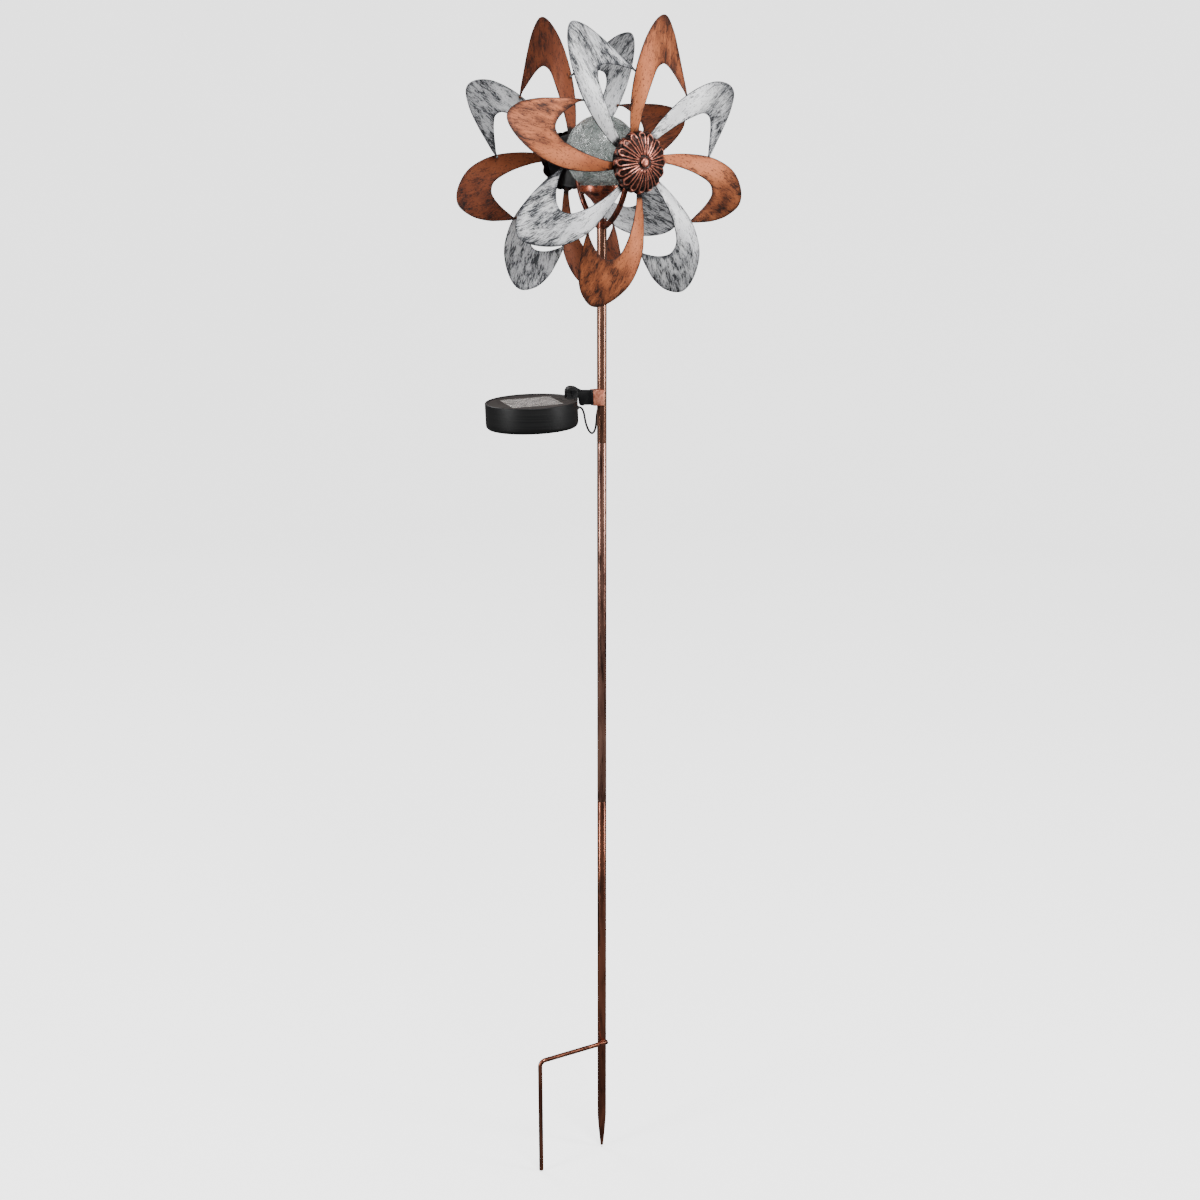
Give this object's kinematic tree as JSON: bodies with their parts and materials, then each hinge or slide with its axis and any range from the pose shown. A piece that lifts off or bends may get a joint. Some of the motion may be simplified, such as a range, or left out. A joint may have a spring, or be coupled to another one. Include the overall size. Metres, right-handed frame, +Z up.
{
  "type": "kinetic wind sculpture",
  "caption": "Garden stake topped by two back-to-back wind rotors of hooked sheet-metal petals round a lit glass ball, with a tilting solar unit clipped to its pole.",
  "frame": {"origin": "on the pole's axis at ground level, which is the top of the step prong's bar", "axes": "+Z up along the pole; -Y out of the front rotor's face, along the rotors' shared horizontal axis; +X to the right seen from the front"},
  "size_m": [0.3466, 0.1956, 1.5963],
  "materials": {
    "pole_bronze": "hammered antique copper paint",
    "strap_copper": "copper plated",
    "petal_copper": "brushed copper wash with dark edges",
    "petal_silver": "brushed silver wash with dark edges",
    "rosette_bronze": "dark bronze with rubbed copper ridges",
    "dark_copper": "gloss dark copper",
    "black_steel": "satin black",
    "zinc": "zinc plated",
    "bronze": "sintered",
    "clear_glass": "crackled, clear",
    "clear_plastic": "clear moulded",
    "white_plastic": "moulded",
    "black_plastic": "moulded, fine grain",
    "rubber": "matte",
    "silicon_cell": "anti-reflection coated",
    "circuit_green": "solder mask",
    "cell_wrap": "shrink wrap"
  },
  "bodies": {
    "stand": {"stake_section": "pole_bronze", "middle_pole": "pole_bronze", "top_pole": "pole_bronze", "lower_coupler": "zinc", "upper_coupler": "zinc", "step_prong": "pole_bronze", "fork_plug": "dark_copper", "front_fork_arm": "dark_copper", "rear_fork_arm": "dark_copper", "ball_cup": "dark_copper", "glass_ball": "clear_glass", "led_holder": "white_plastic", "led": "clear_plastic", "led_lead": "rubber", "front_axle_bolt": "zinc", "rear_axle_bolt": "zinc", "front_axle_washer": "zinc", "rear_axle_washer": "zinc", "front_lock_nut": "zinc", "rear_lock_nut": "zinc", "pole_strap": "strap_copper", "solar_arm": "black_plastic", "strap_screw": "zinc", "pole_grommet": "rubber", "solar_cable": "rubber"},
    "front_rotor": {"front_petal_1": "petal_silver", "front_petal_2": "petal_copper", "front_petal_3": "petal_silver", "front_petal_4": "petal_copper", "front_petal_5": "petal_silver", "front_petal_6": "petal_copper", "front_petal_7": "petal_silver", "front_petal_8": "petal_copper", "front_hub_sleeve": "zinc", "front_bush": "bronze", "front_hub_disc": "black_steel", "front_rosette_cap": "rosette_bronze"},
    "rear_rotor": {"rear_petal_1": "petal_copper", "rear_petal_2": "petal_silver", "rear_petal_3": "petal_copper", "rear_petal_4": "petal_silver", "rear_petal_5": "petal_copper", "rear_petal_6": "petal_silver", "rear_petal_7": "petal_copper", "rear_petal_8": "petal_silver", "rear_hub_sleeve": "zinc", "rear_bush": "bronze", "rear_hub_disc": "black_steel", "rear_rosette_cap": "rosette_bronze"},
    "solar_head": {"solar_housing": "black_plastic", "base_cover": "black_plastic", "cover_screw_1": "zinc", "cover_screw_2": "zinc", "solar_window": "clear_plastic", "solar_cell": "silicon_cell", "circuit_board": "circuit_green", "rechargeable_cell": "cell_wrap", "cable_gland": "rubber", "hinge_screw": "black_steel"},
    "switch": {"power_switch": "black_plastic"}
  },
  "joints": [
    {"name": "front_rotor_spin", "type": "hinge", "parent": "stand", "child": "front_rotor", "pos_m": [0, 0, 1.24], "axis": [0, -1, 0], "continuous": true},
    {"name": "rear_rotor_spin", "type": "hinge", "parent": "stand", "child": "rear_rotor", "pos_m": [0, 0, 1.24], "axis": [0, 1, 0], "continuous": true},
    {"name": "solar_tilt", "type": "hinge", "parent": "stand", "child": "solar_head", "pos_m": [-0.04057, 0.01087, 0.953], "axis": [0.2588, 0.9659, 0], "range_deg": [-4, 50], "deforming": ["solar_cable"]},
    {"name": "switch_slide", "type": "slide", "parent": "solar_head", "child": "switch", "axis": [-0.2588, -0.9659, 0], "range_m": [0, 0.003]}
  ]
}
